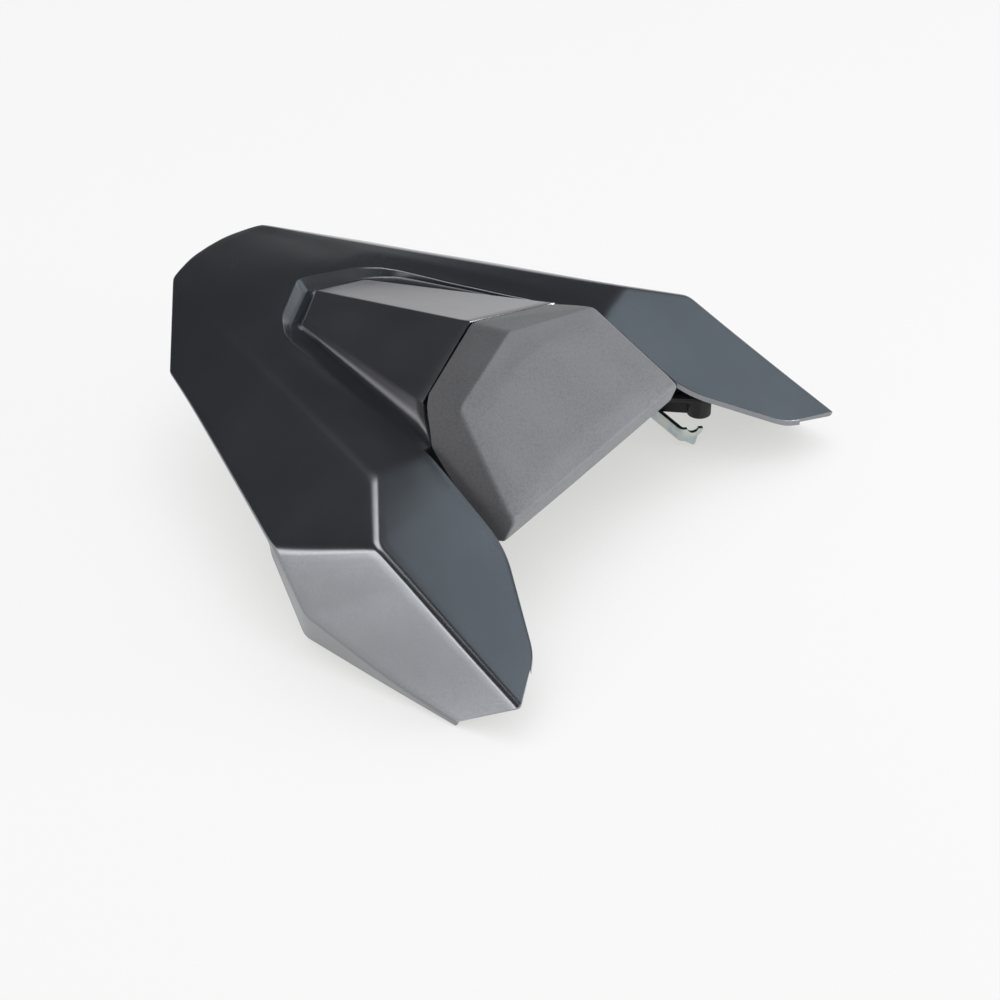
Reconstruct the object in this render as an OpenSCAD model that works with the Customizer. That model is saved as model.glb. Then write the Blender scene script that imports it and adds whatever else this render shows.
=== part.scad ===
// Seat cowl: a moulded shell that takes the place of a motorbike's rear seat.
// The pad side faces -Y, the tail points to +Y, and the blades stand on the plane Z = 0.

/* [Overall] */
// Width over the lower edges of the two side blades
cowl_w = 338; // [310:1:370]
// Length from the blade tips to the tail
cowl_l = 326; // [300:1:360]
// Height of the rear deck above the surface that the cowl stands on
deck_h = 100; // [92:1:112]

/* [Outer shell] */
// Wall of the moulded shell
shell_wall = 2.8; // [2.4:0.1:3.4]
// Setback that rounds the long ridges
ridge_round = 6; // [3:0.5:9]
// Setback that rounds the lower edges
edge_round = 2.5; // [1.5:0.5:4]
// Depth of the recess behind the hump
recess_depth_rear = 7.5; // [6:0.5:9]
// Depth of the recess beside the pad
recess_depth_front = 3; // [2.5:0.5:4.5]
// Width of the recess floor that carries the hump cover
recess_floor_w = 22; // [19:0.5:25]
// Diameter of the screw bosses under the shell
boss_d = 10; // [9:0.5:11]

/* [Hump cover] */
// Wall of the hump cover
hump_wall = 2.5; // [2:0.1:3]
// Width of the recess floor left showing round the hump
ledge_w = 4.5; // [3.5:0.5:6]
// Height of the hump's crest where it meets the pad
crest_h = 112; // [109:0.5:116]
// Height of the hump's shoulders where they meet the pad
shoulder_h = 98.5; // [96:0.5:101]
// Half width of the hump over its shoulders where it meets the pad
shoulder_half_w = 62; // [58:0.5:64]

/* [Backrest pad] */
// Thickness of the moulded pad
pad_t = 19; // [16:0.5:23]
// Slope of the pad's face from level, in degrees
pad_slope = 44.7; // [42:0.1:47]
// Width of the pad along its lower edge
pad_w = 172; // [164:1:176]
// Height of the pad's face along its slope
pad_face_h = 80; // [76:0.5:82]
// Thickness of the plate moulded into the back of the pad
plate_t = 3; // [2:0.5:4]

/* [Seat pan] */
// Height of the underside of the pan's floor
pan_z = 26; // [22:0.5:30]
// Wall of the pan
pan_wall = 3; // [2.5:0.1:3.5]
// Height of the pan's side walls
pan_side_h = 22; // [16:1:26]
// Diameter of the round posts that carry the shell
post_d = 14; // [13:0.5:16]

/* [Steel brackets] */
// Thickness of the steel strip of the hook brackets
strip_t = 2.5; // [2:0.25:3]
// Height of the steel strip
strip_h = 8; // [7.5:0.25:9]
// Height of the steel strip above the floor
strip_z = 5.5; // [5:0.25:6]
// Length of each strip from its rear end to its bend
hook_reach = 50; // [46:1:54]
// Length of the turned end of each hook
hook_w = 13.2; // [12:0.2:14]
// Turn of the strip at its bend, in degrees
hook_bend = 68; // [60:1:80]
// Width of the open notch in the hook
notch_w = 6.6; // [6:0.2:7]
// Diameter of the lock striker's rod
striker_rod_d = 6; // [5:0.5:7]
// Width of the lock striker over its rod
striker_w = 34; // [30:1:40]

/* [Rubber buffers] */
// Diameter of the rubber buffers
buffer_d = 24; // [20:0.5:26]
// Height of the rubber buffers below the pan's collars
buffer_h = 16; // [12:0.5:18]

/* [Fasteners] */
// Thread diameter of the self-tapping screws
tapping_d = 4; // [3.5:0.1:4.2]
// Thread diameter of the bracket bolts
bolt_d = 4; // [3.5:0.5:4]
// Clearance of a screw or bolt in its hole, on the diameter
hole_clear = 0.5; // [0.4:0.1:0.8]

/* [Hidden] */
$fn = 48;
// One overrun for every cut
over = 1;
// Gap left between loose pieces and their neighbours
seat_gap = 0.3;
// Gap between a tapping screw's thread and its boss, on the diameter
thread_gap = 0.1;

// Shares of half the width, of the length from the tips, and of the deck height.
// Each row of the half shell runs from the centre line over the ridge to the lip.
shell_shares = [
  // Lower rim of the rear panel
  [[0, 0.972, 0.79], [0.095, 0.969, 0.79], [0.207, 0.951, 0.78], [0.226, 0.946, 0.777],
   [0.511, 0.846, 0.742], [0.5, 0.843, 0.722]],
  // Tail edge
  [[0, 1.002, 1.002], [0.095, 1, 1.002], [0.213, 0.984, 0.993], [0.234, 0.977, 0.99],
   [0.53, 0.857, 0.772], [0.52, 0.853, 0.733]],
  // Behind the recess
  [[0, 0.834, 1.003], [0.1, 0.832, 0.999], [0.314, 0.825, 0.968], [0.348, 0.819, 0.959],
   [0.612, 0.776, 0.732], [0.602, 0.773, 0.695]],
  // Middle of the recess
  [[0, 0.69, 1], [0.118, 0.681, 0.99], [0.353, 0.667, 0.948], [0.464, 0.666, 0.929],
   [0.733, 0.666, 0.677], [0.722, 0.663, 0.64]],
  // Where the soft crease runs into the recess
  [[0, 0.46, 0.985], [0.178, 0.454, 0.962], [0.455, 0.424, 0.893], [0.623, 0.452, 0.887],
   [0.88, 0.531, 0.6], [0.87, 0.528, 0.562]],
  // Start of the wing
  [[0, 0.322, 0.93], [0.237, 0.322, 0.9], [0.487, 0.328, 0.85], [0.694, 0.36, 0.869],
   [0.936, 0.48, 0.571], [0.924, 0.479, 0.527]],
  // Outer corner of the wing
  [[0, 0.282, 0.8], [0.237, 0.279, 0.77], [0.507, 0.27, 0.722], [0.888, 0.28, 0.733],
   [0.953, 0.455, 0.548], [0.942, 0.468, 0.487]],
  // Rear of the blade
  [[0, 0.23, 0.65], [0.237, 0.224, 0.62], [0.525, 0.19, 0.553], [0.902, 0.21, 0.606],
   [0.988, 0.387, 0.262], [0.916, 0.421, 0]],
  // Middle of the blade
  [[0, 0.153, 0.5], [0.237, 0.147, 0.47], [0.653, 0.1, 0.385], [0.925, 0.112, 0.427],
   [0.998, 0.221, 0.1], [0.964, 0.239, 0]],
  // Tip of the blade
  [[0, 0.077, 0.38], [0.237, 0.067, 0.36], [0.755, 0.039, 0.27], [0.95, -0.005, 0.222],
   [1.002, 0.095, 0.03], [0.996, 0.097, 0]]];
// Setbacks at the inner columns and the inner rows, as shares of the ridge's setback
column_round_shares = [2, 1.3, 1, 0.42];
row_round_shares = [0.4, 2, 2, 2, 1, 1, 0.8, 1.5];

// Plan of the opening: rear apex, rear corner, end of the recess, foot of the pad, wing corner
opening_shares = [[0, 0.788], [0.251, 0.727], [0.482, 0.333], [0.524, 0.176], [0.755, 0.039]];
// Where the recess floor ends beside the pad, as a share of the length
recess_end_share = 0.35;

// Plan of the pan's floor, from the rear centre to the front centre
pan_shares = [[0, 0.773], [0.296, 0.755], [0.426, 0.66], [0.473, 0.46], [0.473, 0.36], [0.39, 0.331], [0, 0.331]];
// Plan of the plate that joins the pan to the front post, and the line of its wall
arm_shares = [[0.46, 0.436], [0.7, 0.436], [0.775, 0.36], [0.79, 0.225], [0.7, 0.19], [0.58, 0.3], [0.46, 0.335]];
arm_wall_shares = [[0.46, 0.38], [0.627, 0.325], [0.746, 0.209]];
// Plan places of the posts, the buffers and the lock striker
front_post_share = [0.746, 0.209];
rear_post_share = [0.367, 0.681];
tail_post_share = [0, 0.885];
front_buffer_share = [0.343, 0.4];
rear_buffer_share = [0.29, 0.655];
striker_share = [0, 0.62];
// Plan place of the bend of each hook, and the outline of its turned end
hook_share = [0.62, 0.207];
tab_shares = [[0.6, -0.38], [0.68, -0.25], [0.77, 0.4], [0.95, 0.7], [1, 1]];

function place(s) = [s[0] * cowl_w / 2, (s[1] - 0.5) * cowl_l, s[2] * deck_h];
function plan(s) = [s[0] * cowl_w / 2, (s[1] - 0.5) * cowl_l];
function unit(v) = v / norm(v);
function mix(a, b, t) = a + (b - a) * t;
function both_sides(half) = concat(half, [for (k = [len(half) - 1:-1:0]) if (half[k][0] > 0) [-half[k][0], half[k][1]]]);

// A polyline with every inner corner replaced by a quadratic curve
function soften(p, r, n) =
  let (last = len(p) - 1)
  [p[0],
   for (k = [1:last - 1])
     let (a = p[k] + unit(p[k - 1] - p[k]) * min(r[k - 1], norm(p[k - 1] - p[k]) * 0.45),
          b = p[k] + unit(p[k + 1] - p[k]) * min(r[k - 1], norm(p[k + 1] - p[k]) * 0.45))
       for (s = [0:n]) mix(mix(a, p[k], s / n), mix(p[k], b, s / n), s / n),
   p[last]];

function column(net, j) = [for (row = net) row[j]];
function turned(net) = [for (j = [0:len(net[0]) - 1]) column(net, j)];
function smooth_net(net, r_cols, r_rows, n_cols, n_rows) =
  turned([for (c = turned([for (row = net) soften(row, r_cols, n_cols)])) soften(c, r_rows, n_rows)]);

// Unit normals of a net; points on the centre line keep theirs in that plane
function net_normals(g) =
  let (m = len(g) - 1, n = len(g[0]) - 1)
  [for (i = [0:m]) [for (j = [0:n])
    let (d = g[min(i + 1, m)][j] - g[max(i - 1, 0)][j],
         e = g[i][min(j + 1, n)] - g[i][max(j - 1, 0)],
         c = cross(d, e))
      unit(g[i][j][0] == 0 ? [0, c[1], c[2]] : c)]];
function sunk(g, depth) =
  let (nrm = net_normals(g))
  [for (i = [0:len(g) - 1]) [for (j = [0:len(g[0]) - 1]) g[i][j] - nrm[i][j] * depth]];

// A closed solid between two nets of the same size, the first one above the second
module between(top, bottom) {
  m = len(top);
  n = len(top[0]);
  pts = concat([for (r = top) each r], [for (r = bottom) each r]);
  function at(i, j) = i * n + j;
  function low(i, j) = m * n + i * n + j;
  tris = [
    for (i = [0:m - 2]) for (j = [0:n - 2]) each [
      [at(i, j), at(i, j + 1), at(i + 1, j + 1)], [at(i, j), at(i + 1, j + 1), at(i + 1, j)],
      [low(i, j), low(i + 1, j + 1), low(i, j + 1)], [low(i, j), low(i + 1, j), low(i + 1, j + 1)]],
    for (i = [0:m - 2]) each [
      [at(i, 0), at(i + 1, 0), low(i + 1, 0)], [at(i, 0), low(i + 1, 0), low(i, 0)],
      [at(i, n - 1), low(i + 1, n - 1), at(i + 1, n - 1)], [at(i, n - 1), low(i, n - 1), low(i + 1, n - 1)]],
    for (j = [0:n - 2]) each [
      [at(0, j), low(0, j + 1), at(0, j + 1)], [at(0, j), low(0, j), low(0, j + 1)],
      [at(m - 1, j), at(m - 1, j + 1), low(m - 1, j + 1)], [at(m - 1, j), low(m - 1, j + 1), low(m - 1, j)]]];
  polyhedron(pts, tris);
}

module mirrored() {
  children();
  mirror([1, 0, 0]) children();
}

shell_net = [for (row = shell_shares) [for (s = row) place(s)]];
shell_grid = smooth_net(shell_net, ridge_round * column_round_shares, ridge_round * row_round_shares, 4, 3);
// The lip's lowest points stay level where the blades stand
shell_inner = [for (row = sunk(shell_grid, shell_wall)) [for (p = row) [p[0], p[1], max(p[2], 0)]]];

// Height of the shell's outside above a plan point, between the control columns
deck_rows = [for (i = [1:len(shell_net) - 1]) shell_net[i]];
function along(j, y) =
  [lookup(y, [for (r = deck_rows) [r[j][1], r[j][0]]]), lookup(y, [for (r = deck_rows) [r[j][1], r[j][2]]])];
function height_at(x, y, j = 0) =
  let (a = along(j, y), b = along(j + 1, y))
  (x <= b[0] || j == 2) ? mix(a[1], b[1], (x - a[0]) / (b[0] - a[0])) : height_at(x, y, j + 1);

opening = [for (s = opening_shares) plan(s)];
recess_end_y = (recess_end_share - 0.5) * cowl_l;
function on_side(y) = mix(opening[1], opening[2], (y - opening[1][1]) / (opening[2][1] - opening[1][1]));
recess_end = on_side(recess_end_y);
function recess_depth(y) =
  mix(recess_depth_front, recess_depth_rear, (y - recess_end_y) / (opening[0][1] - recess_end_y));
function floor_at(p) = height_at(p[0], p[1]) - recess_depth(p[1]);

// A plan line moved sideways, to its right seen along its run
function right_of(d) = unit([d[1], -d[0]]);
function moved(path, d) =
  let (last = len(path) - 1)
  [for (k = [0:last])
    let (a = right_of(path[max(k, 1)] - path[max(k, 1) - 1]),
         b = right_of(path[min(k, last - 1) + 1] - path[min(k, last - 1)]),
         m = unit(a + b))
      path[k] + m * d / (m * a)];
// A closed outline, drawn clockwise, moved to its inside
function inset(path, d) =
  let (n = len(path))
  [for (k = [0:n - 1])
    let (a = right_of(path[k] - path[(k + n - 1) % n]), b = right_of(path[(k + 1) % n] - path[k]), m = unit(a + b))
      path[k] + m * d / (m * a)];

recess_path = [[-recess_end[0], recess_end[1]], [-opening[1][0], opening[1][1]], opening[0], opening[1], recess_end];

// The solid under the recess floor, a seat gap higher, that the hump cover is trimmed by
module foot_block() {
  edge = recess_path;
  rim = moved(recess_path, recess_floor_w * 1.3);
  n = len(edge);
  low = [for (p = edge) floor_at([abs(p[0]), p[1]]) + seat_gap];
  ring = [for (k = [0:n - 1]) [
    [edge[k][0], edge[k][1], low[k]], [rim[k][0], rim[k][1], low[k]],
    [rim[k][0], rim[k][1], low[k] - deck_h / 4], [edge[k][0], edge[k][1], low[k] - deck_h / 4]]];
  ring_solid(ring);
}

// The recess: a wall down from the deck and a floor round the opening
module recess_ring() {
  out = moved(recess_path, -shell_wall);
  edge = recess_path;
  foot = moved(recess_path, recess_depth_front / 3);
  rim = moved(recess_path, recess_floor_w);
  n = len(edge);
  top = [for (p = edge) height_at(abs(p[0]), p[1]) - shell_wall * 0.4];
  low = [for (p = edge) floor_at([abs(p[0]), p[1]])];
  ring = [for (k = [0:n - 1]) [
    [out[k][0], out[k][1], top[k]], [edge[k][0], edge[k][1], top[k]], [foot[k][0], foot[k][1], low[k]],
    [rim[k][0], rim[k][1], low[k]], [rim[k][0], rim[k][1], low[k] - shell_wall],
    [out[k][0], out[k][1], low[k] - shell_wall]]];
  ring_solid(ring);
}

// A closed solid through a row of sections, the same number of points in each
module ring_solid(ring) {
  n = len(ring);
  s = len(ring[0]);
  faces = concat(
    [[for (j = [0:s - 1]) j], [for (j = [s - 1:-1:0]) (n - 1) * s + j]],
    [for (k = [0:n - 2]) for (j = [0:s - 1]) each [
      [k * s + j, (k + 1) * s + j, k * s + (j + 1) % s],
      [(k + 1) * s + j, (k + 1) * s + (j + 1) % s, k * s + (j + 1) % s]]]);
  polyhedron([for (r = ring) each r], faces);
}

function arc_points(c, r, a0, a1, n) = [for (k = [0:n]) c + r * [cos(mix(a0, a1, k / n)), sin(mix(a0, a1, k / n))]];

module opening_cut() {
  // Inner edge of the wing, its round corner, and a run clear of the tips
  m = opening[3];
  w = opening[4];
  tip = plan([0.95, 0]);
  start = w + unit(m - w) * ridge_round * 2;
  end = w + unit(tip - w) * ridge_round * 2;
  bend = [for (k = [0:6]) mix(mix(start, w, k / 6), mix(w, end, k / 6), k / 6)];
  front = -cowl_l / 2 - cowl_l / 10;
  half = concat([opening[0], opening[1], opening[2], m], bend, [[end[0], front], [0, front]]);
  translate([0, 0, -over]) linear_extrude(deck_h * 1.5) polygon(both_sides(half));
}

// Heights of the joints between the pan's posts and the shell's bosses
post_top = pan_z + pan_side_h;
front_joint = pan_z + pan_side_h * 0.6;
tail_joint = deck_h * 0.82;

module boss_at(share, z) {
  p = plan(share);
  translate([p[0], p[1], z]) cylinder(d = boss_d, h = deck_h * 1.1 - z);
}
module pilot_at(share, z, depth) {
  p = plan(share);
  translate([p[0], p[1], z - over]) cylinder(d = tapping_d + thread_gap, h = depth + over);
}

module shell_bosses() {
  intersection() {
    union() {
      boss_at(front_post_share, front_joint);
      boss_at(rear_post_share, post_top);
      boss_at(tail_post_share, tail_joint);
    }
    between(sunk(shell_net, shell_wall * 0.6), [for (row = shell_net) [for (p = row) [p[0], p[1], -over]]]);
  }
}

module shell_skin() {
  between(shell_grid, shell_inner);
}

boss_bite = 12;
module outer_shell() color([0.23, 0.25, 0.27]) {
  difference() {
    mirrored() shell_skin();
    opening_cut();
  }
  difference() {
    recess_ring();
    // Room for the pad, whose rear reaches below the deck
    pad_frame() translate([0, 0, -pad_t - plate_t - pan_wall - seat_gap])
      linear_extrude(2 * pad_t + plate_t + pan_wall) polygon(inset(both_sides(pad_back_half), -2 * seat_gap));
    mirrored() for (p = hump_screw_places) {
      translate([p[0], p[1], 0]) cylinder(d = tapping_d + hole_clear, h = deck_h);
      translate([p[0], p[1], 0]) cylinder(d = head_d + hole_clear, h = hump_seat(p));
    }
  }
  difference() {
    mirrored() shell_bosses();
    mirrored() {
      pilot_at(front_post_share, front_joint, boss_bite);
      pilot_at(rear_post_share, post_top, boss_bite);
      pilot_at(tail_post_share, tail_joint, boss_bite);
    }
  }
}

// The pad's own frame: X across, Y up the slope, Z out of its face, from the foot of the face
pad_foot = place([0, 0.178, 0.575]);
module pad_frame() {
  translate(pad_foot) rotate([pad_slope, 0, 0]) children();
}
// Distance up the slope, on the plane that lies depth behind the face, where it reaches a height
function up_slope(z, depth) = (z - pad_foot[2] + depth * cos(pad_slope)) / sin(pad_slope);
// Y of that plane at a height
function behind_pad(z, depth) = pad_foot[1] + up_slope(z, depth) * cos(pad_slope) + depth * sin(pad_slope);

pad_back_half = [
  [0, up_slope(crest_h, pad_t)],
  [shoulder_half_w, up_slope(shoulder_h, pad_t)],
  [pad_w * 0.442, pad_face_h * 0.725],
  [pad_w * 0.449, pad_face_h * 0.66],
  [pad_w * 0.485, pad_face_h * 0.02],
  [0, pad_face_h * 0.02]];
// Face corners: across, up the slope, and forward of the frame's plane
pad_face_half = [[0, pad_face_h, 0], [shoulder_half_w * 0.957, pad_face_h * 0.78, pad_t * 0.085],
                 [pad_w * 0.465, pad_face_h * 0.015, pad_t * 0.17]];
// Lower edge of the pad, behind the face
pad_lip = [pad_w * 0.477, -pad_face_h * 0.055, -pad_t * 0.52];
pad_round = 3;
plate_inset = 6;

hump_front_gap = 2 * seat_gap;
hump_depth = pad_t + hump_front_gap;
rear_apex = [0, opening[0][1] - ledge_w * 1.1];
rear_corner = opening[1] - [ledge_w * 1.2, ledge_w * 0.35];
// Height of the recess floor beside the hump, and of the spot faces under it
function side_floor(y) = mix(floor_at(opening[1]), floor_at(recess_end), (opening[1][1] - y) / (opening[1][1] - recess_end_y));
spot_depth = shell_wall / 5;
function hump_seat(p) = side_floor(p[1]) - shell_wall + spot_depth;
function rear_foot(t) =
  let (p = mix(rear_apex, rear_corner, t), z = mix(floor_at(opening[0]), floor_at(opening[1]), t))
  [p[0], p[1], z];
hump_rise = 4;
hump_lean = 5.5;
function rear_top(t, drop) = rear_foot(t) + [0, -hump_lean * (1 - drop), hump_rise * (1 - drop)];
function front_point(x, z) = [x, behind_pad(z, hump_depth), z];
hump_foot_z = floor_at(recess_end);
hump_foot_x = recess_end[0] - ledge_w;
hump_net = [
  [rear_foot(0), rear_foot(0.3), rear_foot(0.58), rear_foot(0.82), rear_foot(1)],
  [rear_top(0, 0), rear_top(0.3, 0.05), rear_top(0.58, 0.1), rear_top(0.82, 0.6), rear_top(1, 0.8)],
  [front_point(0, crest_h), front_point(shoulder_half_w / 2, (crest_h + shoulder_h) / 2),
   front_point(shoulder_half_w, shoulder_h),
   front_point(mix(shoulder_half_w, hump_foot_x, 0.56), mix(shoulder_h, hump_foot_z, 0.7)),
   front_point(hump_foot_x, hump_foot_z)]];
hump_round_shares = [1, 0.4, 1.2];
hump_grid = smooth_net(hump_net, ridge_round * hump_round_shares, [ridge_round * 0.35], 4, 3);
function hump_line(j, t) = mix(hump_net[1][j], hump_net[2][j], t);
hump_boss_d = 2 * tapping_d;
hump_screw_places = [for (t = [0.33, 0.86]) let (p = hump_line(2, t)) [p[0] + tapping_d * 0.75, p[1]]];

hump_bite = 4.5;
module hump_cover() color([0.25, 0.26, 0.28]) {
  low_z = floor_at(recess_end) - deck_h / 20;
  difference() {
    mirrored() {
      between(hump_grid, sunk(hump_grid, hump_wall));
      intersection() {
        for (p = hump_screw_places) translate([p[0], p[1], low_z]) cylinder(d = hump_boss_d, h = deck_h);
        between(sunk(hump_net, hump_wall * 0.6), [for (row = hump_net) [for (p = row) [p[0], p[1], low_z]]]);
      }
    }
    // The foot stands on the recess floor
    foot_block();
    mirrored() for (p = hump_screw_places)
      translate([p[0], p[1], low_z - over]) cylinder(d = tapping_d + thread_gap, h = side_floor(p[1]) + hump_bite - low_z + over);
  }
}

pad_screw_places = [[shoulder_half_w * 0.62, pad_face_h * 0.72], [pad_w * 0.33, pad_face_h * 0.14]];
pad_boss_d = 10;
pad_boss_h = 9;

module backrest_pad() color([0.40, 0.40, 0.42]) pad_frame() difference() {
  hull() {
    translate([0, 0, -pad_t]) linear_extrude(pad_t / 5) polygon(both_sides(pad_back_half));
    mirrored() {
      for (p = inset_half) translate([p[0], p[1], p[2] - pad_round]) sphere(r = pad_round, $fn = 24);
      translate(pad_lip - [pad_round, -pad_round, 0]) sphere(r = pad_round, $fn = 24);
    }
  }
  mirrored() for (p = pad_screw_places)
    translate([p[0], p[1], -pad_t - over]) cylinder(d = pad_boss_d + 2 * seat_gap, h = pad_boss_h + seat_gap + over);
}
// The face corners drawn in by the radius of its edges
inset_half = [pad_face_half[0] - [0, pad_round, 0], pad_face_half[1] - [pad_round, pad_round, 0] * 0.4,
              pad_face_half[2] - [pad_round, -pad_round, 0] * 0.4];

plate_outline = inset(both_sides(pad_back_half), plate_inset);
module pad_backing_plate() color([0.12, 0.12, 0.13]) pad_frame() difference() {
  union() {
    translate([0, 0, -pad_t - plate_t]) linear_extrude(plate_t) polygon(plate_outline);
    mirrored() for (p = pad_screw_places) translate([p[0], p[1], -pad_t - plate_t]) cylinder(d = pad_boss_d, h = plate_t + pad_boss_h);
  }
  mirrored() for (p = pad_screw_places)
    translate([p[0], p[1], -pad_t - plate_t - over]) cylinder(d = tapping_d + thread_gap, h = plate_t + pad_boss_h);
}

panel_back = pad_t + plate_t + pan_wall;
pan_outline = both_sides([for (s = pan_shares) plan(s)]);
pan_front_y = plan(pan_shares[5])[1];
arm_drop = pan_z * 0.46;

module bar(p, q, wide, z, tall) {
  d = q - p;
  translate([p[0], p[1], z]) rotate(atan2(d[1], d[0])) translate([0, -wide / 2, 0]) cube([norm(d), wide, tall]);
}

// The hooks' own frame: X back along the strip from its bend, Y towards the middle, from the strip's lower edge
hook_turn = 66;
hook_corner = plan(hook_share);
module hook_frame() {
  translate([hook_corner[0], hook_corner[1], strip_z]) rotate(hook_turn) children();
}
web_l = hook_reach * 0.48;
hook_bolt_xs = [hook_reach - web_l * 0.72, hook_reach - web_l * 0.24];

module pan_arm() {
  wall = [for (s = arm_wall_shares) plan(s)];
  post = plan(front_post_share);
  translate([0, 0, pan_z]) linear_extrude(pan_wall) polygon([for (s = arm_shares) plan(s)]);
  bar(wall[0], wall[1], pan_wall, pan_z - arm_drop, arm_drop + pan_side_h);
  bar(wall[1], wall[2], pan_wall, pan_z - arm_drop, arm_drop + front_joint - pan_z);
  translate([wall[1][0], wall[1][1], pan_z - arm_drop]) cylinder(d = pan_wall * 1.5, h = post_top - pan_z + arm_drop - over);
  translate([post[0], post[1], pan_z - arm_drop]) cylinder(d = post_d, h = front_joint - pan_z + arm_drop);
  // Web that the hook bracket is bolted to
  hook_frame() translate([hook_reach - web_l, -strip_t - pan_wall, -over]) cube([web_l, pan_wall, pan_z - strip_z + 2 * over]);
}

module pan_rib(x) {
  a = pad_foot + [0, cos(pad_slope), sin(pad_slope)] * pad_face_h * 0.02 + [0, sin(pad_slope), -cos(pad_slope)] * (panel_back - over);
  b = a + [0, cos(pad_slope), sin(pad_slope)] * pad_face_h * 0.72;
  front = pan_front_y + pan_wall / 2;
  translate([x - pan_wall / 2, 0, 0]) rotate([90, 0, 90]) linear_extrude(pan_wall)
    polygon([[a[1], a[2]], [front, pan_z + over], [front, post_top - over], [b[1], b[2]]]);
}

module pan_panel() {
  outline = inset(both_sides(pad_back_half), plate_inset);
  pad_frame() difference() {
    translate([0, 0, -panel_back]) linear_extrude(pan_wall) polygon(outline);
    mirrored() for (p = pad_screw_places)
      translate([p[0], p[1], -panel_back - over]) cylinder(d = tapping_d + hole_clear, h = pan_wall + 2 * over);
  }
}

module tail_arm() {
  p = plan(tail_post_share);
  rear = plan(pan_shares[0])[1] - pan_wall / 2;
  low = tail_joint - deck_h * 0.2;
  translate([-pan_wall / 2, 0, 0]) rotate([90, 0, 90]) linear_extrude(pan_wall)
    polygon([[rear, pan_z + over], [p[1], low + over], [p[1], tail_joint - seat_web - over], [rear, post_top - over]]);
  translate([p[0], p[1], low]) cylinder(d = post_d, h = tail_joint - low);
}

module screw_bore(share, z0, z1, head_z) {
  p = plan(share);
  translate([p[0], p[1], z0 - over]) cylinder(d = tapping_d + hole_clear, h = z1 - z0 + 2 * over);
  translate([p[0], p[1], z0 - over]) cylinder(d = head_d + 2 * hole_clear, h = head_z - z0 + over);
}
head_d = 2 * tapping_d;
head_h = 0.6 * tapping_d;
seat_web = 6;
stem_d = buffer_d / 3;

module seat_pan() color([0.10, 0.10, 0.11]) difference() {
  union() {
    translate([0, 0, pan_z]) linear_extrude(pan_wall) polygon(pan_outline);
    translate([0, 0, pan_z]) linear_extrude(pan_side_h) difference() {
      polygon(pan_outline);
      polygon(inset(pan_outline, pan_wall));
    }
    pan_panel();
    for (x = [-0.27, -0.09, 0.09, 0.27]) pan_rib(x * pad_w);
    tail_arm();
    mirrored() {
      pan_arm();
      translate(concat(plan(rear_post_share), [pan_z])) cylinder(d = post_d, h = post_top - pan_z);
      for (s = [front_buffer_share, rear_buffer_share])
        translate(concat(plan(s), [buffer_h])) cylinder(d = buffer_d + 2, h = pan_z - buffer_h + over);
      translate(concat(striker_hole, [pan_z])) cylinder(d = boss_d, h = striker_bite);
    }
  }
  mirrored() {
    screw_bore(front_post_share, pan_z - arm_drop, front_joint, front_joint - seat_web);
    screw_bore(rear_post_share, pan_z, post_top, post_top - seat_web);
    for (s = [front_buffer_share, rear_buffer_share])
      translate(concat(plan(s), [buffer_h - over])) cylinder(d = stem_d + 2 * seat_gap, h = pan_z + pan_wall - buffer_h + 2 * over);
    translate(concat(striker_hole, [pan_z - over])) cylinder(d = tapping_d + thread_gap, h = striker_bite);
    hook_holes(-strip_t - pan_wall - over, pan_wall + 2 * over);
  }
  screw_bore(tail_post_share, tail_joint - deck_h * 0.2, tail_joint, tail_joint - seat_web);
}

module at_hook_bolts(y) {
  hook_frame() for (x = hook_bolt_xs) translate([x, y, strip_h / 2]) rotate([-90, 0, 0]) children();
}
module hook_holes(y, depth) {
  at_hook_bolts(y) cylinder(d = bolt_d + hole_clear, h = depth);
}

// A flat strip on edge, with a bend and a turned end that has an open notch
module hook_bracket() color([0.72, 0.78, 0.78]) difference() {
  bend_r = strip_t * 0.7;
  bend_x = (bend_r + strip_t) * tan(hook_bend / 2);
  notch_x = bend_x - hook_w * 0.55;
  hook_frame() {
    translate([bend_x, -strip_t, 0]) cube([hook_reach - bend_x, strip_t, strip_h]);
    translate([bend_x, -strip_t - bend_r, 0]) {
      rotate(90) rotate_extrude(angle = hook_bend) translate([bend_r, 0]) square([strip_t, strip_h]);
      rotate(hook_bend) translate([0, bend_r + strip_t, 0]) difference() {
        rotate([90, 0, 0]) linear_extrude(strip_t)
          polygon(concat([[0, strip_h], [0, 0]], [for (q = tab_shares) [bend_x - q[0] * hook_w, q[1] * strip_h]]));
        translate([notch_x, over, strip_h + notch_w / 10]) rotate([90, 0, 0]) cylinder(d = notch_w, h = strip_t + 2 * over);
      }
    }
  }
  hook_holes(-strip_t - over, strip_t + 2 * over);
}
module hook_bracket_right() hook_bracket();
module hook_bracket_left() mirror([1, 0, 0]) hook_bracket();

washer_t = bolt_d / 5;
nut_h = bolt_d * 0.8;
module hook_bolts() color([0.70, 0.72, 0.74]) mirrored() at_hook_bolts(washer_t) {
  length = washer_t + strip_t + pan_wall + nut_h + bolt_d * 0.3;
  cylinder(d = bolt_d * 1.8, h = bolt_d * 0.7, $fn = 6);
  translate([0, 0, -length]) cylinder(d = bolt_d, h = length + over / 2);
}
module hook_washers() color([0.75, 0.77, 0.78]) mirrored() at_hook_bolts(0) difference() {
  cylinder(d = 2 * bolt_d, h = washer_t);
  translate([0, 0, -over]) cylinder(d = bolt_d + hole_clear, h = washer_t + 2 * over);
}
module hook_nuts() color([0.70, 0.72, 0.74]) mirrored() at_hook_bolts(-strip_t - pan_wall - nut_h) difference() {
  cylinder(d = bolt_d * 1.8, h = nut_h, $fn = 6);
  translate([0, 0, -over]) cylinder(d = bolt_d + thread_gap, h = nut_h + 2 * over);
}

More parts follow.
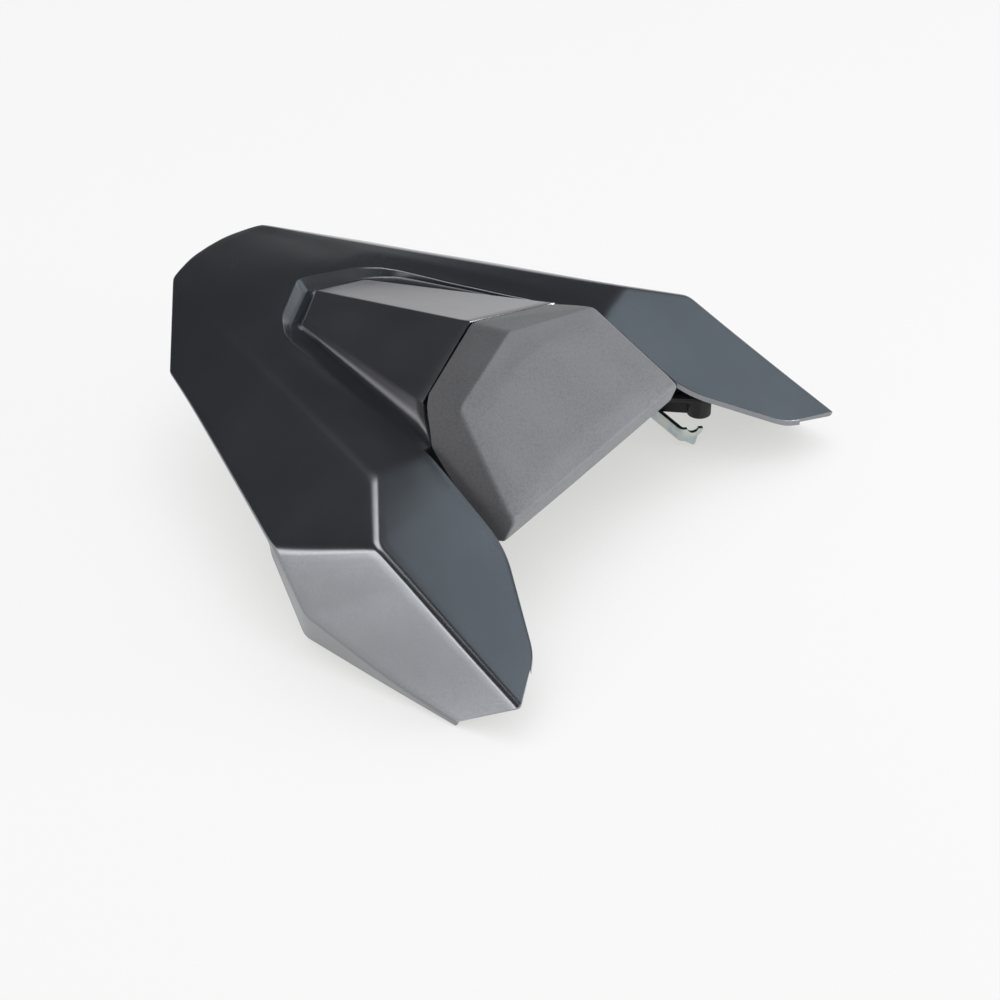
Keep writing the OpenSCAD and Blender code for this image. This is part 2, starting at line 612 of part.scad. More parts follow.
// Plate and rod loop that the seat lock closes on
striker_bite = 10;
plate_half_w = striker_w / 2 + 2 * boss_d / 2;
striker_y = plan(striker_share)[1];
striker_hole = [striker_w / 2 + boss_d * 0.55, striker_y];
striker_plate_t = 3;
module striker_plate() color([0.72, 0.76, 0.76]) difference() {
  translate([-plate_half_w - boss_d / 5, striker_y - boss_d * 1.2, pan_z - striker_plate_t]) cube([2 * plate_half_w + boss_d * 0.4, boss_d * 2.4, striker_plate_t]);
  mirrored() translate(concat(striker_hole, [pan_z - striker_plate_t - over])) cylinder(d = tapping_d + hole_clear, h = striker_plate_t + 2 * over);
}
module striker_loop() color([0.75, 0.77, 0.78]) translate([0, striker_y, pan_z - striker_plate_t]) {
  leg = (striker_w - striker_rod_d) / 2;
  bend = striker_rod_d;
  drop = buffer_h * 0.95 - striker_rod_d;
  mirrored() {
    translate([leg, 0, -drop + bend]) cylinder(d = striker_rod_d, h = drop - bend);
    translate([leg - bend, 0, -drop + bend]) rotate([90, 0, 0]) rotate_extrude(angle = -90) translate([bend, 0]) circle(d = striker_rod_d);
  }
  translate([-leg + bend, 0, -drop]) rotate([0, 90, 0]) cylinder(d = striker_rod_d, h = 2 * (leg - bend));
}

// A rubber buffer with a stem and a bulb that holds it in its collar
module buffer(share) color([0.07, 0.07, 0.07]) translate(plan(share)) {
  chamfer = buffer_d / 12;
  shelf = pan_z + pan_wall;
  rotate_extrude() polygon([
    [0, 0], [buffer_d / 2 - 2 * chamfer, 0], [buffer_d / 2, chamfer], [buffer_d / 2, buffer_h],
    [stem_d / 2, buffer_h], [stem_d / 2, shelf], [stem_d * 0.68, shelf], [stem_d * 0.68, shelf + chamfer],
    [stem_d * 0.4, shelf + 3 * chamfer], [0, shelf + 3 * chamfer]]);
}
module front_buffer_right() buffer(front_buffer_share);
module front_buffer_left() mirror([1, 0, 0]) buffer(front_buffer_share);
module rear_buffer_right() buffer(rear_buffer_share);
module rear_buffer_left() mirror([1, 0, 0]) buffer(rear_buffer_share);

// A pan-head screw, head down, its seat at Z = 0
module tapping_screw(length) {
  slot = tapping_d / 5;
  difference() {
    union() {
      translate([0, 0, -head_h]) cylinder(d = head_d, h = head_h);
      cylinder(d = tapping_d, h = length);
    }
    for (a = [0, 90]) rotate(a) translate([-head_d / 4, -slot / 2, -head_h - over]) cube([head_d / 2, slot, head_h / 2 + over]);
  }
}
module shell_screws() color([0.16, 0.16, 0.17]) {
  length = seat_web + boss_bite - 2 * over;
  mirrored() {
    translate(concat(plan(front_post_share), [front_joint - seat_web])) tapping_screw(length);
    translate(concat(plan(rear_post_share), [post_top - seat_web])) tapping_screw(length);
  }
  translate(concat(plan(tail_post_share), [tail_joint - seat_web])) tapping_screw(length);
}
module hump_screws() color([0.16, 0.16, 0.17]) mirrored() for (p = hump_screw_places)
  translate([p[0], p[1], hump_seat(p)]) tapping_screw(shell_wall - spot_depth + hump_bite - over / 2);
module pad_screws() color([0.16, 0.16, 0.17]) pad_frame() mirrored() for (p = pad_screw_places)
  translate([p[0], p[1], -panel_back]) tapping_screw(pan_wall + plate_t + pad_boss_h - 2 * over);
module striker_screws() color([0.72, 0.74, 0.75]) mirrored()
  translate(concat(striker_hole, [pan_z - striker_plate_t])) tapping_screw(striker_plate_t + striker_bite - 2 * over);

outer_shell();
hump_cover();
backrest_pad();
pad_backing_plate();
seat_pan();
hook_bracket_left();
hook_bracket_right();
hook_bolts();
hook_washers();
hook_nuts();
striker_plate();
striker_loop();
striker_screws();
front_buffer_left();
front_buffer_right();
rear_buffer_left();
rear_buffer_right();
shell_screws();
hump_screws();
pad_screws();
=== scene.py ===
"""Seat cowl: the looks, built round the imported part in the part's own frame."""
import math

import bmesh
import bpy
import numpy as np
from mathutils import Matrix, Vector, kdtree
from mathutils.bvhtree import BVHTree


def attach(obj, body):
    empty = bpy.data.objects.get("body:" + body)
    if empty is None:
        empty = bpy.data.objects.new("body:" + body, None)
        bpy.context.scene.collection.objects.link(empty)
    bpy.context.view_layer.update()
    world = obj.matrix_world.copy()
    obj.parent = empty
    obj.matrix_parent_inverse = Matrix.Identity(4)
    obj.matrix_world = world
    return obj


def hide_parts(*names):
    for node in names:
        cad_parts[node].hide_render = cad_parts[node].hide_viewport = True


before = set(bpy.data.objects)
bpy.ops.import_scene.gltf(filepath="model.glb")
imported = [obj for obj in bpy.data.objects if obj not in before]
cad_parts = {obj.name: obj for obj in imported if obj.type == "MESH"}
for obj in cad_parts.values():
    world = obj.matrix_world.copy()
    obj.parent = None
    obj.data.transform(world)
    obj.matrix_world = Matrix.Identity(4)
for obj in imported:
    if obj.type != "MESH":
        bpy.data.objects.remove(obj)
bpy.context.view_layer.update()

MM = 0.001
HALF_WIDTH, LENGTH, DECK = 169.0, 326.0, 100.0


# ---------------------------------------------------------------- meshes

def keep_mesh(name, points, faces):
    """A mesh object from points in millimetres."""
    mesh = bpy.data.meshes.new(name)
    mesh.from_pydata([tuple(p) for p in np.asarray(points, float) * MM], [], faces)
    piece = bpy.data.objects.new(name, mesh)
    bpy.context.scene.collection.objects.link(piece)
    return piece


def edit(piece, work):
    """Runs work on the piece's bmesh and writes it back."""
    bm = bmesh.new()
    bm.from_mesh(piece.data)
    work(bm)
    bm.to_mesh(piece.data)
    bm.free()
    return piece


def mirrored_whole(bm):
    """Adds the left half, joins the two on the centre line, and turns every face outwards."""
    turned = bmesh.ops.duplicate(bm, geom=bm.verts[:] + bm.edges[:] + bm.faces[:])["geom"]
    copies = [v for v in turned if isinstance(v, bmesh.types.BMVert)]
    bmesh.ops.scale(bm, vec=(-1, 1, 1), verts=copies)
    bmesh.ops.remove_doubles(bm, verts=bm.verts[:], dist=0.004 * MM)
    bmesh.ops.recalc_face_normals(bm, faces=bm.faces[:])


def tidy_faces(bm):
    bmesh.ops.remove_doubles(bm, verts=bm.verts[:], dist=0.004 * MM)
    bmesh.ops.recalc_face_normals(bm, faces=bm.faces[:])


def bake(piece):
    """The piece with its modifiers applied, as a plain mesh."""
    graph = bpy.context.evaluated_depsgraph_get()
    made = bpy.data.meshes.new_from_object(piece.evaluated_get(graph))
    piece.modifiers.clear()
    piece.data = made
    return piece


def shade(piece, angle=35):
    """Smooth faces, with an edge kept where two of them meet more sharply than the angle."""
    piece.data.shade_smooth()
    piece.data.set_sharp_from_angle(angle=math.radians(angle))
    return piece


def finish_piece(piece, material, slot, *nodes):
    piece.data.materials.clear()
    piece.data.materials.append(material)
    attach(piece, "root")
    if nodes:
        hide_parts(*nodes)
    return piece


def lengths(v):
    return np.linalg.norm(v, axis=-1)


def rounded(line, setback, corner, run):
    """Polylines along the first axis with their inner corners replaced by quadratic curves."""
    line = np.asarray(line, float)
    count = len(line)
    run = [run] * (count - 1) if isinstance(run, int) else run
    out, start = [], line[0]
    for k in range(1, count - 1):
        back, on = line[k - 1] - line[k], line[k + 1] - line[k]
        a, b = [line[k] + v * np.minimum(setback[k - 1] / lengths(v), 0.47)[..., None] for v in (back, on)]
        out += [start + (a - start) * s / run[k - 1] for s in range(run[k - 1])]
        for s in range(corner):
            t = s / corner
            out.append((1 - t) ** 2 * a + 2 * t * (1 - t) * line[k] + t * t * b)
        start = b
    out += [start + (line[-1] - start) * s / run[-1] for s in range(run[-1] + 1)]
    return np.array(out)


def smooth_grid(net, across, along, corner, run_across, run_along):
    rows = rounded(net.transpose(1, 0, 2), across, corner, run_across).transpose(1, 0, 2)
    return rounded(rows, along, corner, run_along)


def offset_net(net, depth):
    """The net moved inwards by a wall's thickness, square to each facet round every point."""
    along = net[1:, 1:] + net[1:, :-1] - net[:-1, 1:] - net[:-1, :-1]
    across = net[1:, 1:] + net[:-1, 1:] - net[1:, :-1] - net[:-1, :-1]
    normal = np.cross(along, across)
    normal /= lengths(normal)[..., None]
    out = np.array(net)
    rows, cols = net.shape[:2]
    for i in range(rows):
        for j in range(cols):
            near = normal[max(i - 1, 0):i + 1, max(j - 1, 0):j + 1].reshape(-1, 3)
            if j == 0:
                near = np.vstack([near, near * (-1, 1, 1)])
            out[i, j] += np.linalg.lstsq(near, np.full(len(near), -depth), rcond=0.3)[0]
    return out


def row_at(grid, u):
    i = min(int(u), len(grid) - 2)
    return grid[i] + (grid[i + 1] - grid[i]) * (u - i)


def row_where(grid, y):
    """Fractional row whose point on the centre line lies at a distance along the cowl."""
    middle = grid[:, 0, 1]
    i = int(np.nonzero(middle >= y)[0][-1])
    return i + (middle[i] - y) / (middle[i] - middle[i + 1])


def moved_path(path, distance):
    """A plan line moved sideways, towards the opening where the distance is positive."""
    path = np.asarray(path, float)
    d = np.diff(path, axis=0)
    side = np.stack([d[:, 1], -d[:, 0]], -1) / lengths(d)[:, None]
    before, after = np.vstack([side[:1], side]), np.vstack([side, side[-1:]])
    m = before + after
    m /= lengths(m)[:, None]
    out = path + m * (distance / (m * before).sum(-1))[:, None]
    if path[0][0] == 0:
        out[0] = [0, path[0][1] + distance / side[0][1]]
    return out


# ---------------------------------------------------------------- shell

# Each row runs from the centre line over the ridge to the lip: shares of half the width, the length and the deck's height
SHELL_SHARES = np.array([
    [[0, 0.972, 0.79], [0.095, 0.969, 0.79], [0.207, 0.951, 0.78], [0.226, 0.946, 0.777], [0.511, 0.846, 0.742], [0.5, 0.843, 0.722]],
    [[0, 1.002, 1.002], [0.095, 1, 1.002], [0.213, 0.984, 0.993], [0.234, 0.977, 0.99], [0.53, 0.857, 0.772], [0.52, 0.853, 0.733]],
    [[0, 0.834, 1.003], [0.1, 0.832, 0.999], [0.314, 0.825, 0.968], [0.348, 0.819, 0.959], [0.612, 0.776, 0.732], [0.602, 0.773, 0.695]],
    [[0, 0.69, 1], [0.118, 0.681, 0.99], [0.353, 0.667, 0.948], [0.464, 0.666, 0.929], [0.733, 0.666, 0.677], [0.722, 0.663, 0.64]],
    [[0, 0.46, 0.985], [0.178, 0.454, 0.962], [0.455, 0.424, 0.893], [0.623, 0.452, 0.887], [0.88, 0.531, 0.6], [0.87, 0.528, 0.562]],
    [[0, 0.322, 0.93], [0.237, 0.322, 0.9], [0.487, 0.328, 0.85], [0.694, 0.36, 0.869], [0.936, 0.48, 0.571], [0.924, 0.479, 0.527]],
    [[0, 0.282, 0.8], [0.237, 0.279, 0.77], [0.507, 0.27, 0.722], [0.888, 0.28, 0.733], [0.953, 0.455, 0.548], [0.942, 0.468, 0.487]],
    [[0, 0.23, 0.65], [0.237, 0.224, 0.62], [0.525, 0.19, 0.553], [0.902, 0.21, 0.606], [0.988, 0.387, 0.262], [0.916, 0.421, 0]],
    [[0, 0.153, 0.5], [0.237, 0.147, 0.47], [0.653, 0.1, 0.385], [0.925, 0.112, 0.427], [0.998, 0.221, 0.1], [0.964, 0.239, 0]],
    [[0, 0.077, 0.38], [0.237, 0.067, 0.36], [0.755, 0.039, 0.27], [0.95, -0.005, 0.222], [1.002, 0.095, 0.03], [0.996, 0.097, 0]]])
SHELL_NET = (SHELL_SHARES - (0, 0.5, 0)) * (HALF_WIDTH, LENGTH, DECK)
SHELL_WALL = 2.8
RIM_R = 0.6
APEX_R = 3.5
# How far the deck eases down towards the opening, along the cowl, and over what width
ROLL_AT, ROLL_DEEP, ROLL_W = [-66, -49, -30, 0, 30, 60, 78, 97], [0, 0.9, 1.5, 2.4, 2.9, 2.4, 1.4, 0.7], 17.0
FLANGE = 3.6
RECESS_FLOOR = 22.0
RECESS_DEEP, RECESS_SHALLOW, RECESS_END_Y = 6.9, 3.0, -48.9

# The opening in plan: rear apex, rear corner, end of the recess, foot of the pad, corner of the wing
OPENING = np.array([[0, 97.2], [43.5, 76.6], [82.8, -53.2], [88.56, -105.62], [127.6, -150.29]])
WING_TIP = np.array([160.55, -164.63])
CORNER_R = 8.0


def opening_path(back, clear):
    """The opening's edge in plan, moved outwards by `back` as far as the corner of the wing."""
    line = moved_path(OPENING, -back)
    slope = (line[1] - line[0]) / np.linalg.norm(line[1] - line[0])
    front, side = WING_TIP - OPENING[-1], OPENING[-1] - OPENING[-2]
    front, side = front / np.linalg.norm(front), side / np.linalg.norm(side)
    line[-1] = OPENING[-1] + front * back / abs(front[0] * side[1] - front[1] * side[0])
    end = line[-1] + front * CORNER_R
    line = rounded(np.vstack([line, end + front * 20]), [16, 9, 14, CORNER_R], 8, 6)
    k = int(np.nonzero(line[:, 0] >= end[0])[0][0])
    # The rear apex: half of a quadratic curve across the centre line
    apex = [line[0] + slope * APEX_R * np.array([t, 0.5 + t * t / 2]) for t in (0, 0.2, 0.4, 0.6, 0.8, 1)]
    line = line[:k][line[:k, 0] > apex[-1][0] + 0.5]
    return np.vstack([apex, line, end, end + np.array([front[0] * 60, front[1] * 60 - clear])])


def rolled_down(grid):
    """The deck eased down over its last stretch before the opening."""
    out = np.array(grid)
    line = np.vstack([OPENING[:3], OPENING[2] + (OPENING[2] - OPENING[1]) * 0.3])
    for row in out:
        for p in row:
            far = min(np.linalg.norm(p[:2] - a - (b - a) * np.clip((p[:2] - a) @ (b - a) / ((b - a) @ (b - a)), 0, 1))
                      for a, b in zip(line, line[1:]))
            if p[0] < np.interp(-p[1], -line[:, 1], line[:, 0]):
                far = 0
            p[2] -= np.interp(p[1], ROLL_AT, ROLL_DEEP) * max(1 - far / ROLL_W, 0) ** 2
    return out


def trimmed(grid, path, keep_from, count):
    """Each row cut at the opening: `count` even steps from the cut to column keep_from, then its own points."""
    out = []
    for row in grid:
        gap = row[:, 0] - np.interp(-row[:, 1], -path[:, 1], path[:, 0])
        inside = np.nonzero(gap[:keep_from] < -1e-6)[0]
        run = np.concatenate([[0], np.cumsum(lengths(np.diff(row, axis=0)))])
        first = 0.0
        if len(inside):
            k = inside[-1]
            first = run[k] + (run[k + 1] - run[k]) * gap[k] / (gap[k] - gap[k + 1])
        at = np.linspace(first, run[keep_from], count + 1)[:-1]
        head = np.stack([np.interp(at, run, row[:, a]) for a in range(3)], -1)
        out.append(np.vstack([head, row[keep_from:]]))
    return np.array(out)


def shell_mesh():
    across = [12, 7.8, 3.4, 2.0]
    along = [2.0, 26, 30, 14, 5, 4, 4, 22]
    steps = dict(corner=6, run_across=[4, 4, 10, 10, 2], run_along=[2, 6, 14, 14, 6, 2, 5, 6, 9])
    outer = smooth_grid(SHELL_NET, across, along, **steps)
    inner = smooth_grid(offset_net(SHELL_NET, SHELL_WALL), [11, 7, 2.2, 0.6], [1.0, 24, 28, 12, 4, 3, 3, 20], **steps)
    inner[..., 2] = np.maximum(inner[..., 2], 0)
    outer, inner = rolled_down(outer), rolled_down(inner)
    skin_path, back_path = opening_path(RIM_R, 0.05), opening_path(SHELL_WALL, 0.05)
    extra = [row_where(outer, skin_path[0][1]), row_where(inner, back_path[0][1])]
    extra += [row_where(outer, p[1]) for p in skin_path[2:7]]
    parts = sorted(list(range(len(outer))) + extra)
    outer, inner = [np.array([row_at(g, u) for u in parts]) for g in (outer, inner)]
    keep = steps["run_across"][0] + steps["run_across"][1] + steps["run_across"][2] + 2 * steps["corner"] - 3
    outer, inner = trimmed(outer, skin_path, keep, 14), trimmed(inner, back_path, keep, 14)
    rows, cols = outer.shape[:2]
    points = [*outer.reshape(-1, 3), *inner.reshape(-1, 3)]

    def top(i, j):
        return i * cols + j

    def under(i, j):
        return (rows + i) * cols + j

    def put(p):
        points.append(np.array(p, float))
        return len(points) - 1

    faces = []
    for i in range(rows - 1):
        for j in range(cols - 1):
            faces.append([top(i, j), top(i, j + 1), top(i + 1, j + 1), top(i + 1, j)])
            faces.append([under(i, j), under(i + 1, j), under(i + 1, j + 1), under(i, j + 1)])
    # The lip, the rear rim and the front edge, each rounded over the wall's thickness
    inside = np.mean(outer.reshape(-1, 3), axis=0)

    def bullnose(pairs):
        strip = []
        for a, b in pairs:
            pa, pb = points[a], points[b]
            mid = (pa + pb) / 2
            out = mid - inside
            side = pb - pa
            out = out - side * (out @ side) / (side @ side)
            out[0] = 0 if abs(mid[0]) < 1e-6 else out[0]
            out = out / np.linalg.norm(out)
            strip.append([a, put(pa + side * 0.2 + out * 0.35), put(mid + out * 0.5), put(pb - side * 0.2 + out * 0.35), b])
        for one, two in zip(strip, strip[1:]):
            for k in range(4):
                faces.append([one[k], one[k + 1], two[k + 1], two[k]])
        return strip

    rim = [(top(0, j), under(0, j)) for j in range(cols)]
    rim += [(top(i, cols - 1), under(i, cols - 1)) for i in range(1, rows)]
    rim += [(top(rows - 1, j), under(rows - 1, j)) for j in range(cols - 2, -1, -1)]
    ends = bullnose(rim)[-1]
    # The opening's edge: rounded over, then the recess with its floor, or the wing's short flange
    start = parts.index(extra[0])
    behind = parts.index(extra[1])
    wall_line = opening_path(0, 0.05)
    floor_path = moved_path(OPENING[:3], RECESS_FLOOR)
    floor_path[-1] = floor_path[-2] + (floor_path[-1] - floor_path[-2]) * 0.985
    stations = []
    for i in range(start, rows):
        p = points[top(i, 0)]
        k = int(np.clip(np.searchsorted(-wall_line[:, 1], -p[1]), 1, len(wall_line) - 2))
        run = wall_line[k] - wall_line[k - 1]
        d = np.array([run[1], -run[0], 0]) / np.linalg.norm(run)
        if i == start:
            d = np.array([0.0, -1, 0])
        slope = points[top(i, 1)] - p
        slope = slope / np.linalg.norm(slope)
        drop = np.array([0, 0, -1.0])
        corner = p + (d + np.array([0, 0, -(slope[2] * (slope[:2] @ d[:2]))])) * RIM_R
        in_recess = p[1] >= RECESS_END_Y
        depth = np.interp(p[1], [RECESS_END_Y, OPENING[0][1]], [RECESS_SHALLOW, RECESS_DEEP])
        lean = np.interp(p[1], [RECESS_END_Y, 62, OPENING[1][1] - 1, OPENING[0][1]], [0.2, 0.22, 0.95, 0.95]) if in_recess else 0
        down = (drop + d * lean) / math.hypot(1, lean)
        w0 = corner + down * RIM_R
        arc = [put((1 - t) ** 2 * p + 2 * t * (1 - t) * corner + t * t * w0) for t in (0.25, 0.5, 0.75)]
        if in_recess:
            depth = depth - np.interp(p[1], ROLL_AT, ROLL_DEEP)
            foot = corner + (drop + d * lean) * depth
            bend = depth * (0.05 + 0.35 * lean)
            x, y, z = foot
            if y > OPENING[1][1]:
                edge = floor_path[0] + (floor_path[1] - floor_path[0]) * min(p[0] / OPENING[1][0], 1)
            else:
                t = (OPENING[1][1] - p[1]) / (OPENING[1][1] - OPENING[2][1])
                edge = floor_path[1] + (floor_path[2] - floor_path[1]) * min(max(t, 0), 1)
            hollow = [foot - down * bend * (1 - t) ** 2 + d * (0.3 * bend) * t * t for t in (0, 0.25, 0.5, 0.75, 1)]
            wall = [put(w0), *[put(q) for q in hollow]]
            back = corner - d * SHELL_WALL
            tail = [put([edge[0], edge[1], z]), put([edge[0], edge[1], z - SHELL_WALL]), put([back[0], back[1], z - SHELL_WALL])]
            stations.append((i, "recess", arc, wall, tail))
        else:
            bottom = corner + drop * FLANGE
            back = points[under(i, 0)] * (1, 1, 0) + bottom * (0, 0, 1)
            stations.append((i, "flange", arc, [put(w0), put(bottom)], [put(back)]))
    for (i, kind, arc, wall, tail), (i2, kind2, arc2, wall2, tail2) in zip(stations, stations[1:]):
        one, two = [top(i, 0), *arc, wall[0]], [top(i2, 0), *arc2, wall2[0]]
        chain = [under(n, 0) for n in range(behind if i == start else i, i2 + 1)]
        if kind == "recess" and kind2 == "recess":
            one, two = one + wall[1:] + tail, two + wall2[1:] + tail2
            faces.append([tail[-1], *chain, tail2[-1]])
        elif kind == "recess":
            # The recess ends: its last section is closed, and the flange goes on from the wall's foot
            joint = put(points[under(i, 0)] * (1, 1, 0) + points[wall[1]] * (0, 0, 1))
            faces.append([*wall[1:], *tail, joint])
            faces.append([tail[-1], under(i, 0), joint])
            one, two = one + [wall[1], joint], two + [wall2[1], tail2[0]]
            faces.append([joint, *chain, tail2[-1]])
        else:
            one, two = one + [wall[1], tail[0]], two + [wall2[1], tail2[0]]
            faces.append([tail[-1], *chain, tail2[-1]])
        for k in range(len(one) - 1):
            faces.append([one[k], one[k + 1], two[k + 1], two[k]])
    i, kind, arc, wall, tail = stations[-1]
    faces.append([*ends, *tail[::-1], *wall[::-1], *arc[::-1]])
    return np.maximum(points, (-np.inf, -np.inf, 0)), faces


# ---------------------------------------------------------------- hump and pad

HUMP_NET = np.array([
    [[0, 88.9, 92.5], [14, 82.2, 92.1], [28.5, 75.3, 91.7], [30.2, 73.2, 91.4], [31.4, 70.8, 91.1]],
    [[0, 84.0, 96.7], [13.6, 77.3, 95.95], [27.2, 70.6, 95.2], [30.4, 69.4, 93.4], [31.6, 68.6, 91.0]],
    [[0, -22.03, 112], [31, -28.85, 105.25], [62, -35.68, 98.5], [70.8, -43.3, 90.95], [75.27, -51.19, 83.14]]])
HUMP_WALL = 2.5

PAD_FOOT = np.array([0, -104.97, 57.5])
PAD_SLOPE = math.radians(44.7)
PAD_T = 19.0
# Half outlines in the pad's own frame: across, up the slope, forward
PAD_FACE = [[0, 81, 0], [63.5, 64.6, 1.4], [81, 1.2, 3.0], [0, 1.2, 3.0]]
PAD_SHOULDER = [[0, 96.68, -PAD_T], [62, 77.49, -PAD_T], [83.42, 1.6, -PAD_T], [0, 1.6, -PAD_T]]


def from_pad(points):
    """Points from the pad's own frame to the cowl's."""
    p = np.asarray(points, float)
    c, s = math.cos(PAD_SLOPE), math.sin(PAD_SLOPE)
    return np.stack([p[..., 0], p[..., 1] * c - p[..., 2] * s, p[..., 1] * s + p[..., 2] * c], -1) + PAD_FOOT


# ---------------------------------------------------------------- materials

def colour(code):
    """A linear colour from an sRGB hex code."""
    parts = [int(code[k:k + 2], 16) / 255 for k in (1, 3, 5)]
    return (*[p / 12.92 if p <= 0.04045 else ((p + 0.055) / 1.055) ** 2.4 for p in parts], 1)


def add(tree, kind, links=None, **settings):
    """One node of a kind, with its settings, and its sockets set or linked by name or number."""
    made = tree.nodes.new(kind)
    for name, value in settings.items():
        setattr(made, name, value)
    for name, value in (links or {}).items():
        socket = made.inputs[name]
        if isinstance(value, bpy.types.NodeSocket):
            tree.links.new(value, socket)
        else:
            socket.default_value = value
    return made


def new_material(name, **constants):
    """A material with one Principled shader; its constants sit on the shader's own sockets."""
    material = bpy.data.materials.new(name)
    material.use_nodes = True
    tree = material.node_tree
    tree.nodes.clear()
    shader = add(tree, "ShaderNodeBsdfPrincipled", {k.replace("_", " "): v for k, v in constants.items()})
    output = add(tree, "ShaderNodeOutputMaterial", {"Surface": shader.outputs[0]})
    place = add(tree, "ShaderNodeTexCoord").outputs["Object"]
    return material, tree, shader, place


def ramp(tree, factor, stops):
    """A colour ramp through (position, hex colour) stops."""
    made = add(tree, "ShaderNodeValToRGB", {"Fac": factor})
    line = made.color_ramp
    while len(line.elements) < len(stops):
        line.elements.new(0.5)
    for element, (at, code) in zip(line.elements, stops):
        element.position, element.color = at, colour(code)
    return made.outputs["Color"]


def noise(tree, place, millimetres, detail=2.0, rough=0.5):
    """Noise whose features are about that many millimetres wide."""
    return add(tree, "ShaderNodeTexNoise", {"Vector": place, "Scale": 1 / (millimetres * MM), "Detail": detail, "Roughness": rough}).outputs["Fac"]


def to_range(tree, value, low, high):
    return add(tree, "ShaderNodeMapRange", {"Value": value, "To Min": low, "To Max": high}).outputs["Result"]


def satin_painted_abs():
    """Satin metallic lacquer over injection-moulded ABS: dark where it mirrors the room, pale where it mirrors the table."""
    material, tree, shader, place = new_material("satin_painted_abs", Metallic=0.95, IOR=1.5)
    flake = noise(tree, place, 0.7, 1.0)  # real flake is finer than a pixel, so it is drawn coarser
    cloud = noise(tree, place, 60, 3.0)
    mixed = add(tree, "ShaderNodeMath", {0: flake, 1: cloud}, operation="MULTIPLY")
    tree.links.new(ramp(tree, mixed.outputs[0], [(0.1, "#85878b"), (0.45, "#96989c")]), shader.inputs["Base Color"])
    tree.links.new(to_range(tree, cloud, 0.24, 0.29), shader.inputs["Roughness"])
    peel = noise(tree, place, 2.2, 1.0)
    bump = add(tree, "ShaderNodeBump", {"Strength": 0.04, "Distance": 0.05 * MM, "Height": peel})
    tree.links.new(bump.outputs["Normal"], shader.inputs["Normal"])
    return material


def satin_moulded_abs():
    """ABS moulded with metal flake in it, from a finely eroded mould: the lacquer's grey, with a fine even tooth."""
    material, tree, shader, place = new_material("satin_moulded_abs", Metallic=0.92, IOR=1.54)
    cloud = noise(tree, place, 45, 2.0)
    tree.links.new(ramp(tree, cloud, [(0.3, "#8a8a8f"), (0.7, "#97979c")]), shader.inputs["Base Color"])
    tree.links.new(to_range(tree, cloud, 0.24, 0.29), shader.inputs["Roughness"])
    tooth = noise(tree, place, 0.5, 2.0)
    bump = add(tree, "ShaderNodeBump", {"Strength": 0.05, "Distance": 0.05 * MM, "Height": tooth})
    tree.links.new(bump.outputs["Normal"], shader.inputs["Normal"])
    return material


def grained_vinyl():
    """Vinyl skin over moulded foam, pressed with a fine pebble grain: mid grey and matt, with a painted highlight on
    the pebbles' tops and painted shade in the hollows between them.
    """
    material, tree, shader, place = new_material(
        "grained_vinyl", Metallic=0.0, IOR=1.5, Sheen_Weight=0.25, Sheen_Roughness=0.5)
    pebble = add(tree, "ShaderNodeTexVoronoi", {"Vector": place, "Scale": 1 / (1.1 * MM), "Randomness": 1.0},
                 feature="SMOOTH_F1").outputs["Distance"]
    cloud = noise(tree, place, 30, 3.0)
    mixed = add(tree, "ShaderNodeMath", {0: pebble, 1: cloud}, operation="MULTIPLY")
    # the colour follows the grain's height: pebble tops are painted paler as a highlight and hollows darker as shade,
    # mixed with an even random cloud
    tree.links.new(ramp(tree, mixed.outputs[0], [(0.05, "#737377"), (0.45, "#66666a")]), shader.inputs["Base Color"])
    tree.links.new(to_range(tree, pebble, 0.55, 0.72), shader.inputs["Roughness"])
    bump = add(tree, "ShaderNodeBump", {"Strength": 0.5, "Distance": 0.15 * MM, "Height": pebble}, invert=True)
    tree.links.new(bump.outputs["Normal"], shader.inputs["Normal"])
    return material


def textured_polypropylene():
    """Glass-filled polypropylene, injection moulded: black with a faint flow mottle and a fine matt texture."""
    material, tree, shader, place = new_material("textured_polypropylene", Metallic=0.0, IOR=1.49)
    cloud = noise(tree, place, 12, 3.0)
    tree.links.new(ramp(tree, cloud, [(0.3, "#1b1b1d"), (0.7, "#242427")]), shader.inputs["Base Color"])
    tree.links.new(to_range(tree, cloud, 0.5, 0.62), shader.inputs["Roughness"])
    bump = add(tree, "ShaderNodeBump", {"Strength": 0.25, "Distance": 0.08 * MM, "Height": noise(tree, place, 0.8, 2.0)})
    tree.links.new(bump.outputs["Normal"], shader.inputs["Normal"])
    return material


def zinc_plated_steel():
    """Zinc-plated steel with a clear passivate: bright, slightly milky, with a cool tint that wanders to straw."""
    material, tree, shader, place = new_material("zinc_plated_steel", Metallic=1.0)
    cloud = noise(tree, place, 6, 2.0)
    tree.links.new(ramp(tree, cloud, [(0.3, "#a9b7bf"), (0.52, "#bfcaca"), (0.7, "#cbcfc2")]), shader.inputs["Base Color"])
    tree.links.new(to_range(tree, noise(tree, place, 1.5, 3.0), 0.24, 0.4), shader.inputs["Roughness"])
    bump = add(tree, "ShaderNodeBump", {"Strength": 0.1, "Distance": 0.03 * MM, "Height": noise(tree, place, 0.6, 2.0)})
    tree.links.new(bump.outputs["Normal"], shader.inputs["Normal"])
    return material


def black_oxide_steel():
    """Blackened steel screws: almost black, oily, with brighter worn grain."""
    material, tree, shader, place = new_material("black_oxide_steel", Metallic=0.8)
    cloud = noise(tree, place, 1.2, 3.0)
    tree.links.new(ramp(tree, cloud, [(0.3, "#1c1c1e"), (0.75, "#323236")]), shader.inputs["Base Color"])
    tree.links.new(to_range(tree, cloud, 0.35, 0.5), shader.inputs["Roughness"])
    bump = add(tree, "ShaderNodeBump", {"Strength": 0.1, "Distance": 0.03 * MM, "Height": cloud})
    tree.links.new(bump.outputs["Normal"], shader.inputs["Normal"])
    return material


